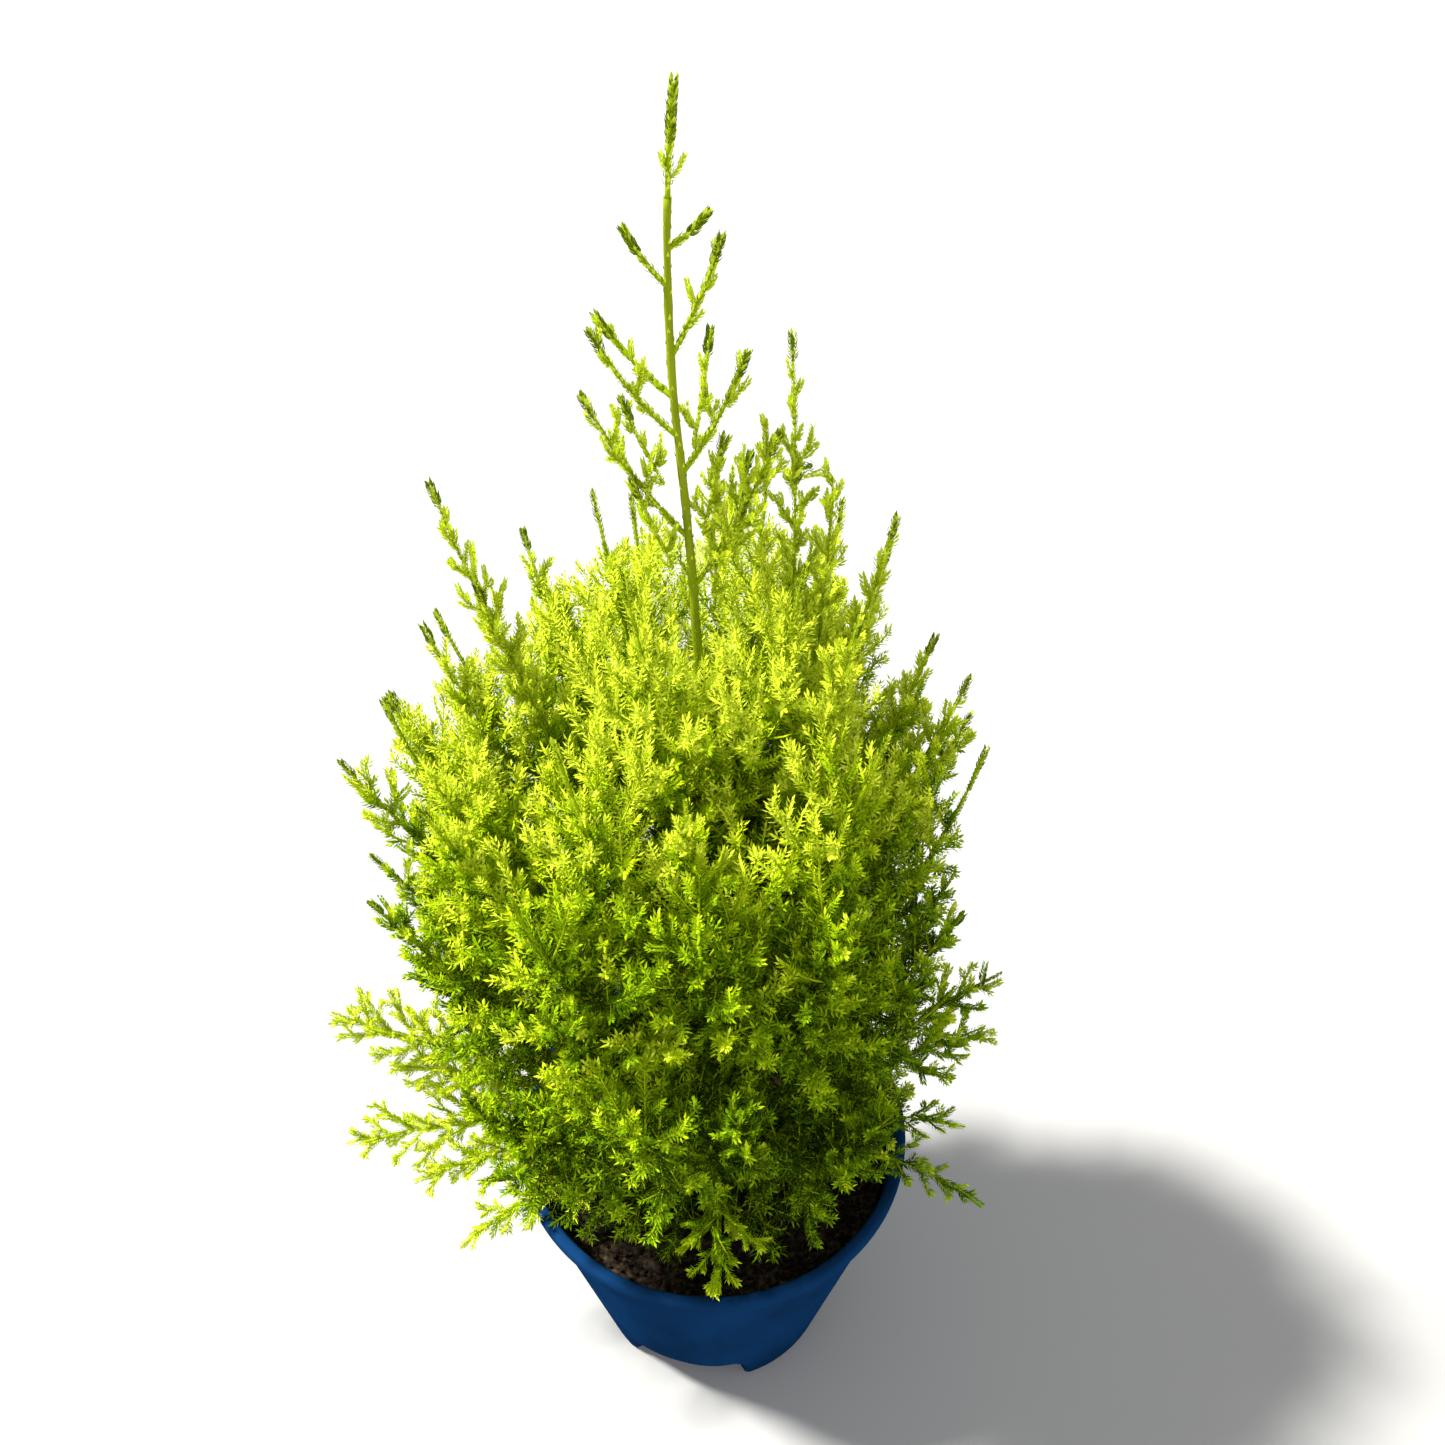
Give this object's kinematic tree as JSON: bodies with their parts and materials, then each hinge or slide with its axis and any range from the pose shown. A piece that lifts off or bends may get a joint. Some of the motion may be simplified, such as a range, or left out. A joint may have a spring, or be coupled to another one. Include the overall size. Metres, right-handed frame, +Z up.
{
  "type": "potted cypress tree",
  "caption": "Small lemon cypress with a feathery conical crown and a bare-tipped leader, growing in a round tapered plastic nursery pot of soil.",
  "frame": {"origin": "centre of the pot's flat underside, on the level surface that the pot stands on", "axes": "+Z up along the pot's axis; -Y towards the viewer of the picture, +X to the viewer's right"},
  "size_m": [0.2713, 0.2176, 0.565],
  "materials": {
    "pot": "satin",
    "soil": "matte",
    "bark": "matte",
    "lime_needles": "matte",
    "green_needles": "matte"
  },
  "bodies": {
    "root": {"pot": "pot", "soil": "soil", "trunk": "bark", "base_1_bough": "bark", "base_2_bough": "bark", "base_3_bough": "bark", "base_4_bough": "bark", "lower_1_bough": "bark", "lower_2_bough": "bark", "lower_3_bough": "bark", "lower_4_bough": "bark", "lower_5_bough": "bark", "middle_1_bough": "bark", "middle_2_bough": "bark", "middle_3_bough": "bark", "middle_4_bough": "bark", "middle_5_bough": "bark", "middle_6_bough": "bark", "base_plume_1": "green_needles", "base_plume_2": "green_needles", "base_plume_3": "green_needles", "base_plume_4": "green_needles", "curled_shoot": "lime_needles", "front_left_spray": "green_needles", "front_spray": "green_needles", "leader_shoot_1": "lime_needles", "leader_shoot_2": "lime_needles", "leader_shoot_3": "lime_needles", "leader_shoot_4": "lime_needles", "leader_shoot_5": "lime_needles", "leader_shoot_6": "lime_needles", "leader_shoot_7": "lime_needles", "leader_shoot_8": "lime_needles", "leader_tip": "lime_needles", "left_spray": "green_needles", "long_left_shoot": "lime_needles", "low_left_spray": "green_needles", "low_right_spray": "green_needles", "lower_plume_1": "green_needles", "lower_plume_2": "green_needles", "lower_plume_3": "green_needles", "lower_plume_4": "green_needles", "lower_plume_5": "green_needles", "middle_plume_1": "lime_needles", "middle_plume_2": "lime_needles", "middle_plume_3": "lime_needles", "middle_plume_4": "lime_needles", "middle_plume_5": "lime_needles", "middle_plume_6": "lime_needles", "right_spray": "green_needles", "second_leader": "lime_needles", "shoulder_plume_1": "lime_needles", "shoulder_plume_2": "lime_needles", "shoulder_plume_3": "lime_needles", "shoulder_plume_4": "lime_needles", "shoulder_plume_5": "lime_needles", "upper_plume_1": "lime_needles", "upper_plume_2": "lime_needles", "upper_plume_3": "lime_needles", "upper_plume_4": "lime_needles"}
  },
  "joints": []
}
